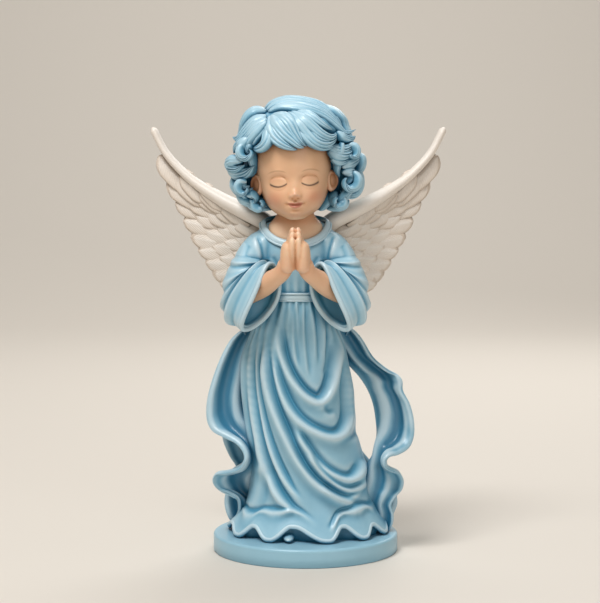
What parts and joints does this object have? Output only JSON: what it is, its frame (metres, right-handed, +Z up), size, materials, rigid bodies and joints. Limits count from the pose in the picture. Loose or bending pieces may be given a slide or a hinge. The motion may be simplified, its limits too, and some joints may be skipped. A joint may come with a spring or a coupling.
{
  "type": "praying angel figurine",
  "caption": "Painted resin figurine of a praying child angel in a draped robe and a trailing mantle, with two spread wings, standing on a flat round foot.",
  "frame": {"origin": "centre of the foot's flat underside", "axes": "+Z up, the figure faces -Y, and +X is towards the figure's own left hand"},
  "size_m": [0.1664, 0.102, 0.2499],
  "materials": {
    "robe_paint": "hand-painted cast resin, satin sealed",
    "base_paint": "painted cast resin, satin sealed",
    "wing_paint": "painted cast resin, dark wash in the hollows"
  },
  "bodies": {
    "root": {"base": "base_paint", "figure": "robe_paint", "wing_left": "wing_paint", "wing_right": "wing_paint"}
  },
  "joints": []
}
